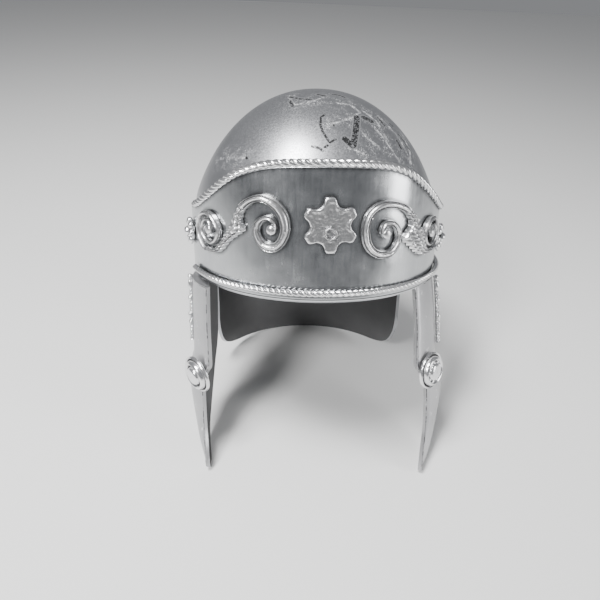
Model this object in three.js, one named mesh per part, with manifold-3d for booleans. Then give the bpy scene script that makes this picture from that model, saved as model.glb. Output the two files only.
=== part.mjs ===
// A Roman legionary helmet, a stage prop of painted plastic: an open skull with a long neck guard,
// an upright brow band with applied rope, scrolls and rosettes, and two cheek guards.
// Millimetres, +Z up. The helmet is worked out upright, with its front towards -Y, and is then
// leaned back until it stands on the tips of its cheek guards and the edge of its neck guard.
import * as THREE from 'three';
import { mergeVertices } from 'three/addons/utils/BufferGeometryUtils.js';
import Module from 'manifold-3d';

const wasm = await Module();
wasm.setup();

// Driving dimensions
const seat_gap = 0.3;            // clearance between a piece and what it lies on
const band_width = 224;          // across the brow band, outside
const band_reach = 111.4;        // from the middle of the head to the front of the band
const band_wall = 2.8;
const band_height = 95.5;        // from the lower rope to the upper one, at the front
const band_lip = 8;              // plain strip of the band below the lower rope
const band_end_angle = 88;       // degrees round from the front
const rope_left_angle = 67.5;    // the ropes stop earlier on the left
const plan_power = 2.06;         // 2 is an ellipse, more is squarer
const skull_wall = 3;
const skull_rim_drop = 1.6;      // how far the skull's rim shows below the band
const dome_height = 146.5;       // above the lower rope
const dome_spread = 1.08;        // width that the dome's curve would reach, as a share of the rim's
const dome_power_up = 1.86;
const dome_power_out = 2.11;
const dome_rows = 11;
const crown_turn = 0.05;          // the dome's first row, radians down from the crown
const crown_thinning = 1.4;       // the wall has its full thickness at 1 / 1.4 of the way out
const back_reach = 118;          // from the middle of the head to the back of the skull
const neck_drop = 133.5;         // lower edge of the neck guard below the lower rope
const neck_front = 43;           // front edges of the neck guard, behind the middle
const neck_corner_round = 50;
const neck_root_round = 14;
const rope_top_radius = 3;
const rope_bottom_radius = 2.5;
const rosette_width = 42;
const rosette_thickness = 4.5;
const rosette_rise = 52;         // its middle above the lower rope
const rosette_angle = 1.2;       // it is set a little to one side
const scallop_radius = 6.4;
const scallop_out = 21.3;        // middle of a scallop's arc from the rosette's middle
const ring_width = 9.6;
const ring_wire = 2;
const ring_drop = 5.3;           // below the middle of the rosette
const scroll_relief = 5;
const scroll_gap = 0.5;          // more than seat_gap: a scroll's flat back spans the band's curve
const temple_boss_width = 24.4;
const temple_boss_relief = 8;
const temple_boss_rise = 29;
const temple_boss_gap = 0.4;     // the band curves away under the boss
const guard_width = 78;          // chord of a cheek guard, front edge to rear edge
const guard_length = 181;        // top edge to tip
const guard_wall = 3;
const guard_chord_in = 17;       // chord of a guard's top, in from the side of the band
const guard_middle_y = -32;
const guard_top_gap = 0.9;       // below the skull's rim
const tab_width = 18;            // tongue that carries the guard, inside the skull
const tab_height = 22;
const tab_angle = 92;
const cheek_boss_width = 35;
const cheek_boss_relief = 8;
const strip_radius = 2.2;
const strip_gap = 0.45;
const strip_start_depth = 0.01;
const strip_share = 0.53;
const strip_end_depth = 0.36;
const flat_depth = 0.5;          // how much is worn off where the helmet stands

// Each guard bulges out from its chord by its bow. The right one is flatter, turned in at its front
// edge by its toe in degrees, and its lower half stands further out and forward.
const guard_bend = {
  left: { bow: 17.5, toe: 0, spread: 0, forward: 0, length: guard_length },
  right: { bow: 15, toe: 17, spread: 23, forward: 8, length: guard_length + 4 },
};

// A temple boss sits at a distance along the band's face from its middle, as the scrolls do. A cheek
// boss lies on its guard at a share across it and a depth down it.
const boss_seats = {
  left: { temple_along: 144.6, share: 0.1, depth: 0.47, cheek_gap: 1.1 },
  right: { temple_along: 126, share: 0.15, depth: 0.446, cheek_gap: 0.7 },
};

const band_half = band_width / 2;
const rim_drop = band_lip + skull_rim_drop;
const skull_half = band_half - band_wall - seat_gap;
const skull_front = band_reach - band_wall - seat_gap;
const rope_top_out = rope_top_radius - band_wall;  // its inner side is flush with the band's
const guard_middle_x = band_half - guard_chord_in;
const columns = 48;
const guard_columns = 10;
const guard_row_step = 0.09;

const silver = { color: 0xb9babb, roughness: 0.38, metalness: 0.75 };
const bright_silver = { color: 0xcfd0d1, roughness: 0.28, metalness: 0.85 };
const worn_silver = { color: 0x9fa0a0, roughness: 0.45, metalness: 0.7 };

const radians = THREE.MathUtils.degToRad;
const mix = THREE.MathUtils.lerp;

// Point of a horizontal section of the head, by the angle from its front, moved out by offset.
function planPoint(angle, half, front, back, offset, z) {
  const s = Math.sin(angle);
  const c = Math.cos(angle);
  const depth = c > 0 ? front : back;
  const power = 2 / plan_power;
  const x = half * Math.sign(s) * Math.abs(s) ** power;
  const y = -depth * Math.sign(c) * Math.abs(c) ** power;
  const normal = new THREE.Vector2(
    Math.sign(x) * Math.abs(x / half) ** (plan_power - 1) / half,
    Math.sign(y) * Math.abs(y / depth) ** (plan_power - 1) / depth,
  ).normalize();
  return new THREE.Vector3(x + normal.x * offset, y + normal.y * offset, z);
}

function bandPoint(angle, offset, z) {
  return planPoint(angle, band_half, band_reach, band_reach, offset, z);
}

// Smooth curve through a table's rows: first column is the place, the others are values there.
function rowAt(table, place) {
  let i = 0;
  while (i < table.length - 2 && table[i + 1][0] < place) i += 1;
  const before = table[Math.max(i - 1, 0)];
  const after = table[Math.min(i + 2, table.length - 1)];
  const a = table[i];
  const b = table[i + 1];
  const t = THREE.MathUtils.clamp((place - a[0]) / (b[0] - a[0]), 0, 1);
  const t2 = t * t;
  const t3 = t2 * t;
  return a.map((value, k) => {
    const slopeA = (b[k] - before[k]) / (b[0] - before[0]);
    const slopeB = (after[k] - value) / (after[0] - a[0]);
    const step = b[0] - a[0];
    return (2 * t3 - 3 * t2 + 1) * value + (t3 - 2 * t2 + t) * step * slopeA
      + (3 * t2 - 2 * t3) * b[k] + (t3 - t2) * step * slopeB;
  });
}

function geometryFrom(points, faces) {
  const geometry = new THREE.BufferGeometry();
  const places = points.flatMap((p) => [p.x, p.y, p.z]);
  geometry.setAttribute('position', new THREE.Float32BufferAttribute(places, 3));
  geometry.setIndex(faces.flat());
  return geometry;
}

// Closed solid between two grids of points with the same rows and columns.
function plate(outer, inner) {
  const rows = outer.length;
  const cols = outer[0].length;
  const points = [...outer.flat(), ...inner.flat()];
  const faces = [];
  const at = (side, i, j) => side * rows * cols + i * cols + j;
  const quad = (a, b, c, d) => faces.push([a, b, c], [a, c, d]);
  for (let i = 0; i < rows - 1; i += 1) {
    for (let j = 0; j < cols - 1; j += 1) {
      quad(at(0, i, j), at(0, i + 1, j), at(0, i + 1, j + 1), at(0, i, j + 1));
      quad(at(1, i, j), at(1, i, j + 1), at(1, i + 1, j + 1), at(1, i + 1, j));
    }
    quad(at(0, i, 0), at(1, i, 0), at(1, i + 1, 0), at(0, i + 1, 0));
    quad(at(0, i, cols - 1), at(0, i + 1, cols - 1), at(1, i + 1, cols - 1), at(1, i, cols - 1));
  }
  for (let j = 0; j < cols - 1; j += 1) {
    quad(at(0, 0, j), at(0, 0, j + 1), at(1, 0, j + 1), at(1, 0, j));
    quad(at(0, rows - 1, j), at(1, rows - 1, j), at(1, rows - 1, j + 1), at(0, rows - 1, j + 1));
  }
  return geometryFrom(points, faces);
}

// Closed solid through rings of points; each end is closed by a fan from its middle.
function loft(rings) {
  const count = rings[0].length;
  const points = rings.flat();
  const faces = [];
  for (let i = 0; i < rings.length - 1; i += 1) {
    for (let j = 0; j < count; j += 1) {
      const k = (j + 1) % count;
      const a = i * count;
      const b = a + count;
      faces.push([a + j, a + k, b + k], [a + j, b + k, b + j]);
    }
  }
  for (const end of [0, rings.length - 1]) {
    const middle = new THREE.Vector3();
    rings[end].forEach((p) => middle.addScaledVector(p, 1 / count));
    points.push(middle);
    const tip = points.length - 1;
    for (let j = 0; j < count; j += 1) {
      const k = (j + 1) % count;
      const [a, b] = [end * count + j, end * count + k];
      faces.push(end === 0 ? [tip, b, a] : [tip, a, b]);
    }
  }
  return geometryFrom(points, faces);
}

function facingOut(geometry) {
  const p = geometry.getAttribute('position');
  const index = geometry.getIndex().array;
  const [a, b, c] = [new THREE.Vector3(), new THREE.Vector3(), new THREE.Vector3()];
  let volume = 0;
  for (let i = 0; i < index.length; i += 3) {
    a.fromBufferAttribute(p, index[i]);
    b.fromBufferAttribute(p, index[i + 1]);
    c.fromBufferAttribute(p, index[i + 2]);
    volume += a.dot(b.cross(c));
  }
  if (volume < 0) {
    for (let i = 0; i < index.length; i += 3) [index[i], index[i + 1]] = [index[i + 1], index[i]];
  }
  return geometry;
}

function toSolid(source) {
  const bare = source.clone();
  bare.deleteAttribute('normal');
  bare.deleteAttribute('uv');
  const merged = facingOut(mergeVertices(bare, 1e-4));
  return new wasm.Manifold(new wasm.Mesh({
    numProp: 3,
    vertProperties: new Float32Array(merged.getAttribute('position').array),
    triVerts: new Uint32Array(merged.getIndex().array),
  }));
}

function fromSolid(solid) {
  const mesh = solid.getMesh();
  const geometry = new THREE.BufferGeometry();
  geometry.setAttribute('position', new THREE.BufferAttribute(new Float32Array(mesh.vertProperties), 3));
  geometry.setIndex([...mesh.triVerts]);
  return geometry;
}

// Skull: the dome is a rounded curve from the crown down to where it stands upright.
// Each row is its share of the dome's height and of the rim's width.
const dome_turn_end = Math.asin((1 / dome_spread) ** (dome_power_out / 2));
const dome_levels = Array.from({ length: dome_rows }, (_, i) => {
  const turn = mix(crown_turn, dome_turn_end, i / (dome_rows - 1));
  return [Math.cos(turn) ** (2 / dome_power_up), dome_spread * Math.sin(turn) ** (2 / dome_power_out)];
});

const neck_levels = [
  // share of the neck guard's drop, share of the width, share of the back's reach
  [0, 1, 1],
  [0.11, 1, 1],
  [0.28, 0.992, 0.99],
  [0.5, 0.985, 0.985],
  [0.7, 0.985, 1.01],
  [0.84, 0.994, 1.045],
  [0.94, 1.012, 1.09],
  [1, 1.028, 1.125],
  [1.04, 1.036, 1.145],
];

function skullRings(inset) {
  const rings = [];
  const addRing = (half, front, back, z) => {
    const ring = [];
    for (let j = 0; j < columns; j += 1) {
      ring.push(planPoint((j / columns) * 2 * Math.PI, half, front, back, 0, z));
    }
    rings.push(ring);
  };
  for (const [height, share] of dome_levels) {
    const thin = inset * Math.min(1, share * crown_thinning);
    const lower = inset * Math.max(0, 2 * height - 1);
    addRing(skull_half * share - thin, skull_front * share - thin, back_reach * share - thin,
      dome_height * height - lower);
  }
  for (const [drop, width, reach] of neck_levels) {
    addRing(skull_half * width - inset, skull_front - inset, back_reach * reach - inset, -neck_drop * drop);
  }
  return rings;
}

// The side view of everything in front of the neck guard and below the rim, cut right through.
function faceOpening() {
  const far = 2 * band_width;
  const edge = new THREE.Shape();
  edge.moveTo(-far, -rim_drop);
  edge.lineTo(neck_front - neck_root_round, -rim_drop);
  edge.absarc(neck_front - neck_root_round, -rim_drop - neck_root_round, neck_root_round,
    Math.PI / 2, 0, true);
  edge.lineTo(neck_front, -neck_drop + neck_corner_round);
  edge.absarc(neck_front + neck_corner_round, -neck_drop + neck_corner_round, neck_corner_round,
    Math.PI, 1.5 * Math.PI, false);
  edge.lineTo(far, -neck_drop);
  edge.lineTo(far, -far);
  edge.lineTo(-far, -far);
  const cutter = new THREE.ExtrudeGeometry(edge, { depth: far, bevelEnabled: false, curveSegments: 8 });
  // the shape's x is the helmet's y, its y the helmet's z, and the extrusion runs along x
  const turn = new THREE.Matrix4().makeBasis(
    new THREE.Vector3(0, 1, 0),
    new THREE.Vector3(0, 0, 1),
    new THREE.Vector3(1, 0, 0),
  );
  turn.setPosition(-far / 2, 0, 0);
  return cutter.applyMatrix4(turn);
}

function skull() {
  const outer = toSolid(loft(skullRings(0)));
  const inner_rings = skullRings(skull_wall);
  inner_rings.at(-1).forEach((p) => p.setZ(-neck_drop - neck_corner_round));
  const inner = toSolid(loft(inner_rings));
  return outer.subtract(inner).subtract(toSolid(faceOpening()));
}

// Brow band
const band_edge = [
  // angle from the front in degrees, share of the band's height
  [0, 1],
  [12, 0.995],
  [20, 0.982],
  [26, 0.958],
  [34, 0.905],
  [42, 0.82],
  [53, 0.69],
  [63, 0.595],
  [75, 0.545],
  [90, 0.52],
];

function bandHeight(angle) {
  return band_height * rowAt(band_edge, Math.abs(THREE.MathUtils.radToDeg(angle)))[1];
}

function bandAngles(steps, from, to) {
  return Array.from({ length: steps + 1 }, (_, j) => radians(mix(from, to, j / steps)));
}

function browBand() {
  const angles = bandAngles(36, -band_end_angle, band_end_angle);
  const grid = (offset) => [0, 0.5, 1].map((share) => angles.map((angle) => {
    const top = bandHeight(angle) - rope_top_radius - seat_gap;
    return bandPoint(angle, offset, mix(-band_lip, top, share));
  }));
  return plate(grid(0), grid(-band_wall));
}

// A bar with a round section; out is its middle's place off the band's face.
function rope(radius, out, height, sides) {
  const rings = bandAngles(40, -rope_left_angle, band_end_angle).map((angle) => {
    const ring = [];
    for (let k = 0; k < sides; k += 1) {
      const turn = (k / sides) * 2 * Math.PI;
      ring.push(bandPoint(angle, out + radius * Math.cos(turn), height(angle) + radius * Math.sin(turn)));
    }
    return ring;
  });
  return loft(rings);
}

// Rosette: a flat plate with six blunt lobes and a round scallop between each two
function frontRosette() {
  const lobes = 6;
  const steps = 6;
  const radius = rosette_width / 2;
  // half angle that a scallop covers at the plate's full radius
  const half = Math.acos(
    (radius ** 2 + scallop_out ** 2 - scallop_radius ** 2) / (2 * radius * scallop_out),
  );
  const places = [];
  for (let k = 0; k < lobes; k += 1) {
    const middle = radians(92 - 360 * ((k + 0.5) / lobes));
    for (let step = 0; step <= steps; step += 1) {
      const off = mix(half, -half, step / steps);
      const chord = Math.sqrt(Math.max(scallop_radius ** 2 - (scallop_out * Math.sin(off)) ** 2, 0));
      const depth = scallop_out * Math.cos(off) - chord;
      places.push(new THREE.Vector2(Math.cos(middle + off), Math.sin(middle + off)).multiplyScalar(depth));
    }
  }
  return new THREE.ExtrudeGeometry(
    new THREE.Shape(places), { depth: rosette_thickness, bevelEnabled: false },
  );
}

// Turns a piece made flat in XY, its back at z = 0, so that it faces out from the band.
function onBand(angle, rise, out) {
  const place = bandPoint(angle, out, rise);
  const outward = bandPoint(angle, out + 1, rise).sub(place);
  const up = new THREE.Vector3(0, 0, 1);
  const across = new THREE.Vector3().crossVectors(up, outward);
  return new THREE.Matrix4().makeBasis(across, up, outward).setPosition(place);
}

// Scrolls are drawn on the band's face unrolled: along it, up it and out from it.
function onFace(side, along, up, out) {
  return bandPoint((side * along) / band_half, out, up);
}

// Ribbon of stations { outer, inner, relief }: its two edges on the band's face and its height
function ribbon(side, stations) {
  const section = [
    // place from the inner edge to the outer one, height as a share of the relief
    [0, 0],
    [0.05, 0.75],
    [0.28, 1],
    [0.72, 1],
    [0.95, 0.75],
    [1, 0],
  ];
  const rings = stations.map(({ outer, inner, relief }) => section.map(([across, rise]) => onFace(side,
    mix(inner[0], outer[0], across), mix(inner[1], outer[1], across), scroll_gap + rise * relief)));
  return toSolid(loft(rings));
}

// The two scrolls were shaped by hand and differ. A spiral's middle is on the band: along it from
// the front, and up from the lower rope. Its rows wind in towards that middle.
const spiral_step = 15;          // degrees
const knob_radius = 3.8;
const knob_sides = 12;
const scrolls = {
  left: {
    large: {
      along: 38.4,
      up: 47.3,
      rows: [
        // degrees (0 is away from the front, 90 is up), radius of the ribbon's middle, half its width
        [31, 27.9, 3],
        [51, 25.9, 2.5],
        [71, 23.6, 2.9],
        [91, 19.4, 3.7],
        [116, 15.2, 4.3],
        [141, 12.1, 4.3],
        [166, 10.6, 3.7],
        [203, 10.1, 3.5],
        [233, 11.3, 3.4],
        [261, 13.1, 3.6],
        [290, 13.5, 3.2],
        [328, 12.4, 2.8],
        [375, 11.2, 2.5],
        [434, 8.6, 2],
        [465, 6.4, 1.9],
        [496, 4.5, 1.6],
        [530, 3.3, 1.3],
      ],
    },
    small: {
      along: 97.9,
      up: 39.9,
      rows: [
        [-70, 18.3, 1.8],
        [-9, 17.5, 2.8],
        [26, 16, 2.6],
        [60, 13.5, 2.3],
        [100, 11.8, 2],
        [141, 10.8, 1.9],
        [169, 11.6, 1.9],
        [230, 11, 1.9],
        [300, 10.2, 1.8],
        [355, 9.5, 1.8],
        [451, 6.9, 1.6],
        [500, 4.8, 1.5],
        [540, 3.4, 1.3],
      ],
    },
    leaf: [
      // outer edge along and up, inner edge along and up, height as a share of the relief
      [64.2, 63.6, 59.7, 61.2, 1],
      [69.4, 55.1, 62.6, 52.2, 1.1],
      [74.7, 44.9, 60.2, 45, 1.2],
      [80, 37.5, 67.6, 39.2, 1.2],
      [84, 32.3, 75.5, 33.2, 1.1],
      [92, 26.2, 87, 23.2, 1],
      [104.5, 24.6, 105.8, 21.4, 0.95],
    ],
  },
  right: {
    large: {
      along: 44.1,
      up: 44.6,
      rows: [
        [37, 24.9, 2.8],
        [64, 22.3, 2.7],
        [88, 21.6, 2.8],
        [112, 21.5, 3],
        [135, 20.3, 3.2],
        [158, 17.9, 3.2],
        [184, 16.2, 3.2],
        [238, 16.2, 3],
        [265, 16.2, 2.9],
        [293, 15.8, 2.8],
        [319, 14, 2.7],
        [351, 11.8, 2.5],
        [382, 10.3, 2.2],
        [425, 8.6, 2],
        [461, 7.4, 1.9],
        [500, 5, 1.7],
        [540, 3.4, 1.3],
      ],
    },
    small: {
      along: 98.5,
      up: 38.5,
      rows: [
        [-70, 13.8, 1.7],
        [-9, 11.7, 1.7],
        [60, 11.6, 1.8],
        [141, 11.4, 1.9],
        [200, 11.2, 1.9],
        [260, 9.6, 1.8],
        [355, 7.4, 1.7],
        [451, 5.7, 1.5],
        [500, 4.3, 1.4],
        [540, 3.3, 1.3],
      ],
    },
    leaf: [
      [65.3, 61.9, 61.2, 59.1, 1],
      [74.5, 53.8, 67.5, 49.5, 1.15],
      [80, 47, 61, 39.2, 1.2],
      [85, 39, 70.6, 30.8, 1.15],
      [90, 30, 79.6, 24.2, 1],
      [95, 26.6, 90, 21.6, 0.95],
      [103.8, 26.8, 104.9, 24.3, 0.95],
    ],
  },
};

function spiralStations({ along, up, rows }) {
  const last = rows[rows.length - 1][0];
  const steps = Math.round((last - rows[0][0]) / spiral_step);
  return Array.from({ length: steps + 1 }, (_, i) => {
    const [angle, middle, half] = rowAt(rows, mix(rows[0][0], last, i / steps));
    const [x, y] = [Math.cos(radians(angle)), Math.sin(radians(angle))];
    return {
      outer: [along + (middle + half) * x, up + (middle + half) * y],
      inner: [along + (middle - half) * x, up + (middle - half) * y],
      relief: scroll_relief,
    };
  });
}

function knob(side, spiral) {
  const levels = [
    // width and height as shares of the knob's radius and of the relief
    [1, 0],
    [1, 0.7],
    [0.6, 1.05],
  ];
  const rings = levels.map(([width, rise]) => Array.from({ length: knob_sides }, (_, k) => {
    const turn = (k / knob_sides) * 2 * Math.PI;
    const radius = knob_radius * width;
    return onFace(side, spiral.along + radius * Math.cos(turn), spiral.up + radius * Math.sin(turn),
      scroll_gap + rise * scroll_relief);
  }));
  return toSolid(loft(rings));
}

function scroll(name, side) {
  const { large, small, leaf } = scrolls[name];
  let solid = ribbon(side, leaf.map(([outer_along, outer_up, inner_along, inner_up, rise]) => ({
    outer: [outer_along, outer_up],
    inner: [inner_along, inner_up],
    relief: rise * scroll_relief,
  })));
  for (const spiral of [large, small]) {
    solid = solid.add(ribbon(side, spiralStations(spiral))).add(knob(side, spiral));
  }
  return fromSolid(solid);
}

// A round boss: profile points as shares of its radius and relief
function boss(width, relief, profile) {
  const points = profile.map(([out, up]) => new THREE.Vector2((out * width) / 2, up * relief));
  return new THREE.LatheGeometry(points, 20).rotateX(Math.PI / 2);
}

const temple_boss_profile = [
  [0, 0],
  [1, 0],
  [1, 0.45],
  [0.9, 0.72],
  [0.7, 0.82],
  [0.48, 0.72],
  [0.4, 0.85],
  [0.3, 1],
  [0, 1],
];
const cheek_boss_profile = [
  [0, 0],
  [1, 0],
  [1, 0.3],
  [0.9, 0.4],
  [0.9, 0.7],
  [0.8, 0.8],
  [0.66, 0.7],
  [0.46, 0.72],
  [0.4, 0.95],
  [0.25, 1],
  [0, 1],
];

// Cheek guard: rows down from the top edge. Front and rear edges lie out from the middle and
// behind it as shares of the guard's width; bow is a share of its bulge.
const guard_rows = [
  // depth, front out, front back, rear out, rear back, bow
  [0, -0.02, -0.5, 0, 0.48, 0.93],
  [0.2, -0.01, -0.515, 0.01, 0.48, 0.97],
  [0.355, -0.015, -0.555, 0.02, 0.47, 1],
  [0.4, -0.012, -0.565, 0.022, 0.465, 1.02],
  [0.43, 0.02, -0.53, 0.025, 0.46, 1.03],
  [0.49, 0.075, -0.435, 0.035, 0.445, 1.03],
  [0.56, 0.095, -0.39, 0.055, 0.41, 1],
  [0.66, 0.1, -0.395, 0.08, 0.33, 0.87],
  [0.78, 0.1, -0.43, 0.11, 0.2, 0.62],
  [0.88, 0.085, -0.53, 0.13, 0.01, 0.36],
  [0.95, 0.08, -0.575, 0.12, -0.14, 0.17],
  [0.985, 0.078, -0.57, 0.1, -0.29, 0.06],
  [1, 0.078, -0.53, 0.085, -0.38, 0.02],
];
const guard_top = -rim_drop - guard_top_gap;

// Point of the guard's outer face: share runs from the front edge to the rear edge.
function guardPoint(side, share, depth, inset) {
  const [, front_out, front_back, rear_out, rear_back, bow_share] = rowAt(guard_rows, depth);
  const front = new THREE.Vector2(front_out, front_back).multiplyScalar(guard_width);
  const rear = new THREE.Vector2(rear_out, rear_back).multiplyScalar(guard_width);
  const half_chord = front.distanceTo(rear) / 2;
  const bend = guard_bend[side > 0 ? 'right' : 'left'];
  const bow = Math.max(bow_share * bend.bow, 0.2);
  const radius = (half_chord ** 2 + bow ** 2) / (2 * bow);
  const turn = mix(-1, 1, share) * Math.asin(half_chord / radius);
  const along = rear.clone().sub(front).normalize();
  const outward = new THREE.Vector2(along.y, -along.x);
  const middle = front.clone().add(rear).multiplyScalar(0.5).addScaledVector(outward, bow - radius);
  const place = middle.addScaledVector(along, (radius - inset) * Math.sin(turn))
    .addScaledVector(outward, (radius - inset) * Math.cos(turn));
  place.rotateAround(new THREE.Vector2(bend.bow * 0.6, 0), -radians(bend.toe));
  const x = guard_middle_x + place.x + bend.spread * depth * (1 - 0.35 * depth);
  const y = guard_middle_y + place.y - bend.forward * depth;
  return new THREE.Vector3(side * x, y, guard_top - bend.length * depth);
}

function guardFrame(side, share, depth, out) {
  const place = guardPoint(side, share, depth, 0);
  const back = guardPoint(side, share + 0.05, depth, 0)
    .sub(guardPoint(side, share - 0.05, depth, 0)).normalize();
  const down = guardPoint(side, share, depth + 0.02, 0)
    .sub(guardPoint(side, share, depth - 0.02, 0)).normalize();
  const outward = new THREE.Vector3().crossVectors(back, down).multiplyScalar(-side).normalize();
  const across = new THREE.Vector3().crossVectors(outward, down).normalize();
  return new THREE.Matrix4().makeBasis(across, down, outward)
    .setPosition(place.addScaledVector(outward, out));
}

// The tongue that carries the guard follows the skull's inner face.
function tabPoint(side, share, z, inset) {
  const angle = radians(tab_angle) + mix(-0.5, 0.5, share) * (tab_width / skull_half);
  const place = planPoint(angle, skull_half, skull_front, back_reach, -skull_wall - seat_gap - inset, z);
  place.x *= side;
  return place;
}

const tab_levels = [tab_height, 0, -rim_drop - seat_gap];

function cheekGuard(side) {
  const shares = Array.from({ length: guard_columns + 1 }, (_, k) => k / guard_columns);
  const depths = guard_rows.flatMap(([depth], i) => {
    if (i === guard_rows.length - 1) return [depth];
    const next = guard_rows[i + 1][0];
    return next - depth > guard_row_step ? [depth, (depth + next) / 2] : [depth];
  });
  const grid = (inset) => [
    ...tab_levels.map((z) => shares.map((share) => tabPoint(side, share, z, inset))),
    ...depths.map((depth) => shares.map((share) => guardPoint(side, share, depth, inset))),
  ];
  return plate(grid(0), grid(guard_wall));
}

// Raised cord down the middle of the guard, from its top edge to the boss
function guardStrip(side) {
  const steps = 12;
  const sides = 8;
  const rings = Array.from({ length: steps + 1 }, (_, i) => {
    const depth = mix(strip_start_depth, strip_end_depth, i / steps);
    const frame = guardFrame(side, strip_share, depth, strip_gap + strip_radius);
    return Array.from({ length: sides }, (__, k) => {
      const turn = (k / sides) * 2 * Math.PI;
      const place = new THREE.Vector3(strip_radius * Math.cos(turn), 0, strip_radius * Math.sin(turn));
      return place.applyMatrix4(frame);
    });
  });
  return loft(rings);
}

function bare(geometry) {
  const copy = geometry.clone();
  copy.deleteAttribute('normal');
  copy.deleteAttribute('uv');
  return copy;
}

// The three places that the helmet stands on lie in one plane, found by rolling it into place.
function standingPlane(skull_geometry, left_geometry, right_geometry) {
  const normal = new THREE.Vector3(0, -0.27, 0.96).normalize();
  const lowest = (geometry) => {
    const p = geometry.getAttribute('position');
    const point = new THREE.Vector3();
    const best = new THREE.Vector3();
    let least = Infinity;
    for (let i = 0; i < p.count; i += 1) {
      point.fromBufferAttribute(p, i);
      if (point.dot(normal) < least) {
        least = point.dot(normal);
        best.copy(point);
      }
    }
    return best;
  };
  let height = 0;
  for (let pass = 0; pass < 12; pass += 1) {
    const left = lowest(left_geometry);
    const right = lowest(right_geometry);
    const back = lowest(skull_geometry);
    const across = right.clone().sub(left);
    const along = back.clone().sub(left);
    normal.crossVectors(across, along).normalize();
    height = left.dot(normal);
  }
  return { normal, height };
}

const skull_solid = skull();
const left_guard = cheekGuard(-1);
const right_guard = cheekGuard(1);
const standing = standingPlane(fromSolid(skull_solid), left_guard, right_guard);
const upright = new THREE.Quaternion().setFromUnitVectors(standing.normal, new THREE.Vector3(0, 0, 1));
const floor_height = standing.height + flat_depth;

// Wears a small flat where a piece stands.
function worn(solid) {
  const far = 2 * band_width;
  const below = new THREE.BoxGeometry(2 * far, 2 * far, far).translate(0, 0, floor_height - far / 2);
  below.applyQuaternion(upright.clone().invert());
  return fromSolid(solid.subtract(toSolid(below)));
}

const helmet = new THREE.Group();
helmet.quaternion.copy(upright);
helmet.position.set(0, 0, -floor_height);

function add(name, geometry, finish, matrix = new THREE.Matrix4()) {
  const merged = facingOut(mergeVertices(bare(geometry), 1e-4));
  const mesh = new THREE.Mesh(merged, new THREE.MeshStandardMaterial(finish));
  mesh.name = name;
  mesh.applyMatrix4(matrix);
  helmet.add(mesh);
}

add('skull', worn(skull_solid), silver);
add('brow_band', browBand(), bright_silver);
add('rope_top', rope(rope_top_radius, rope_top_out, bandHeight, 8), silver);
add('rope_bottom', rope(rope_bottom_radius, seat_gap + rope_bottom_radius, () => 0, 8), silver);

const rosette_place = onBand(radians(rosette_angle), rosette_rise, seat_gap);
add('front_rosette', frontRosette(), silver, rosette_place);
const ring = new THREE.TorusGeometry(ring_width / 2 - ring_wire / 2, ring_wire / 2, 6, 16);
const ring_lift = rosette_thickness + seat_gap + ring_wire / 2;
add('rosette_ring', ring, silver, rosette_place.clone().multiply(
  new THREE.Matrix4().makeTranslation(0, -ring_drop, ring_lift)));

for (const [name, side, guard] of [['left', -1, left_guard], ['right', 1, right_guard]]) {
  const seat = boss_seats[name];
  add(`scroll_${name}`, scroll(name, side), silver);
  add(`temple_boss_${name}`, boss(temple_boss_width, temple_boss_relief, temple_boss_profile), silver,
    onBand((side * seat.temple_along) / band_half, temple_boss_rise, temple_boss_gap));
  add(`cheek_guard_${name}`, worn(toSolid(guard)), worn_silver);
  add(`cheek_boss_${name}`, boss(cheek_boss_width, cheek_boss_relief, cheek_boss_profile), silver,
    guardFrame(side, seat.share, seat.depth, seat.cheek_gap));
  add(`cheek_strip_${name}`, guardStrip(side), silver);
}

// The middle of the whole part's footprint comes to the origin.
const part = new THREE.Group();
part.add(helmet);
const middle = new THREE.Box3().setFromObject(part, true).getCenter(new THREE.Vector3());
helmet.position.x -= middle.x;
helmet.position.y -= middle.y;

export default part;
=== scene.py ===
# %% [markdown]
# # A Roman legionary helmet in silver-painted plastic
#
# The real thing is a stage helmet: a thin moulded shell of dark ABS, sprayed with metallic silver
# paint, with cast ornament stuck to an upright brow band. It stands tilted back on the tips of its
# cheek guards and on the edge of its neck guard.
#
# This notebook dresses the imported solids. It starts from their frame, works in millimetres in the
# helmet's own upright frame, and turns every piece into the world at the end.

import math

import bmesh
import bpy
from mathutils import Matrix, Vector, noise
from mathutils.bvhtree import BVHTree


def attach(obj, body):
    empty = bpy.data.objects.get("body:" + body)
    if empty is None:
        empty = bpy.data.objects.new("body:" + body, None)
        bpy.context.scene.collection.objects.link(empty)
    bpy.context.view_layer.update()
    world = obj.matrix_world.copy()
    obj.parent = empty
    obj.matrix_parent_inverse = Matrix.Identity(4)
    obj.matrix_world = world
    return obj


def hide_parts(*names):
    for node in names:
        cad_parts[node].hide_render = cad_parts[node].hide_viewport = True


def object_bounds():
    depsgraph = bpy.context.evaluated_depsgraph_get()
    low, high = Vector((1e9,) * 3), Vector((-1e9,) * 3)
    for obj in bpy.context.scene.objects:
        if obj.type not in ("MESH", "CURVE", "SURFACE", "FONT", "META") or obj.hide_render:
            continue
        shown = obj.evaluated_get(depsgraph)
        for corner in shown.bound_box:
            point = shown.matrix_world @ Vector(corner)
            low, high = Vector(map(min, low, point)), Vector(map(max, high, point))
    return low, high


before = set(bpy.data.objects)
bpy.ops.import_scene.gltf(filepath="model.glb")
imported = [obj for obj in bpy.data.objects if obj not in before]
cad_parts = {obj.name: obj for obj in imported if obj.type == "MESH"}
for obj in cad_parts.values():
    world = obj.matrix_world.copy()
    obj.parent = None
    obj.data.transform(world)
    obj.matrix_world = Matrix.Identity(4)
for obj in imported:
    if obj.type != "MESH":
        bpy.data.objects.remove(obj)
cad_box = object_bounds()
print("nodes in the frame:", len(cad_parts))

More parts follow.
